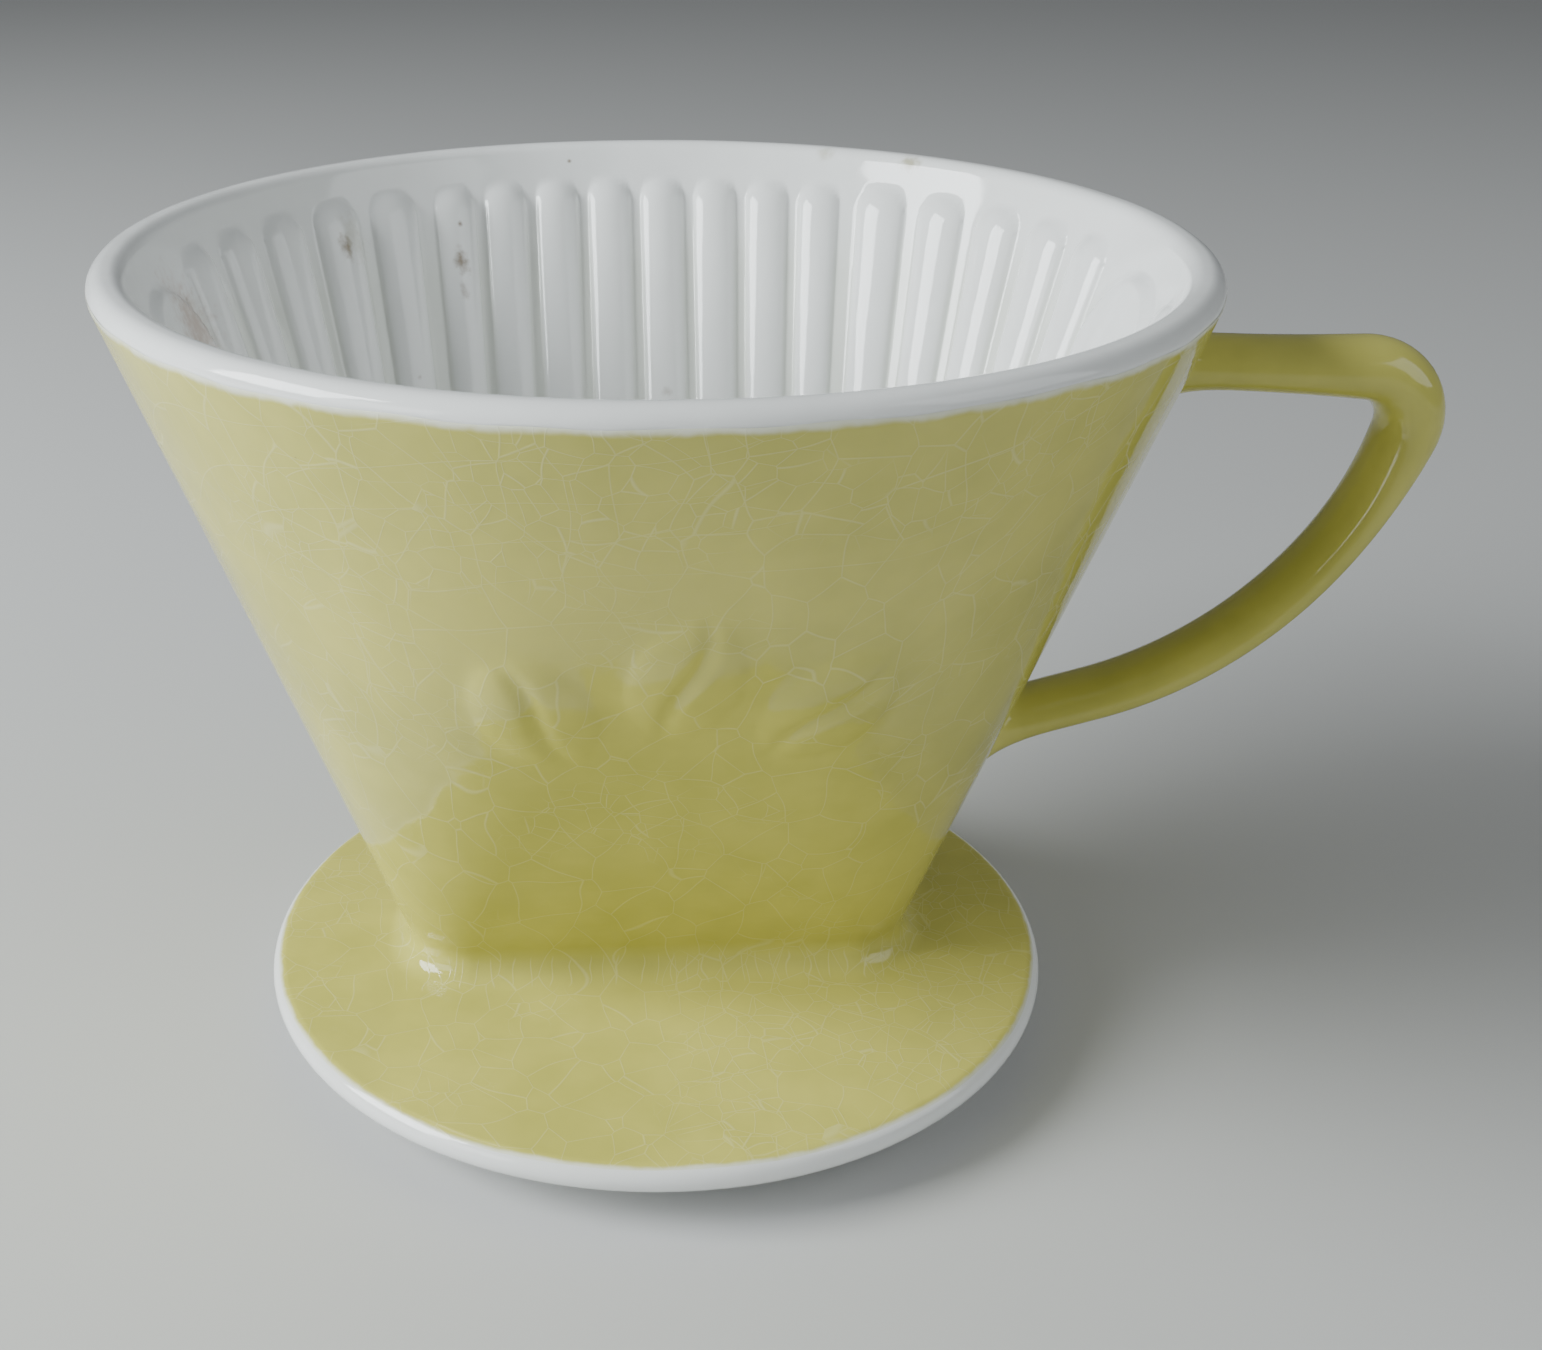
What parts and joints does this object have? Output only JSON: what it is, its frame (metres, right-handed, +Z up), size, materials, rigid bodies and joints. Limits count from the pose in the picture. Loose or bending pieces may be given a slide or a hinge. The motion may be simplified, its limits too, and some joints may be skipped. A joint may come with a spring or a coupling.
{
  "type": "pour over coffee dripper",
  "caption": "Funnel-shaped ceramic coffee dripper for a wedge paper filter, with inner ribs, drip holes, a round saucer foot, a centring ring and a side handle.",
  "frame": {"origin": "on the vertical axis through the middle of the centring ring, at the ring's lower face, which is what the dripper stands on off the pot", "axes": "+Z up through the funnel's mouth; +X along the long side of the drip slot, to the handle; -Y is the front"},
  "size_m": [0.156, 0.123, 0.1],
  "materials": {
    "white_porcelain": "white porcelain under a clear gloss glaze",
    "yellow_glaze": "pastel yellow gloss glaze, finely crazed"
  },
  "bodies": {
    "root": {"funnel": "white_porcelain", "saucer": "white_porcelain", "centring_ring": "white_porcelain", "handle": "white_porcelain", "funnel_glaze": "yellow_glaze", "saucer_glaze": "yellow_glaze", "handle_glaze": "yellow_glaze"}
  },
  "joints": []
}
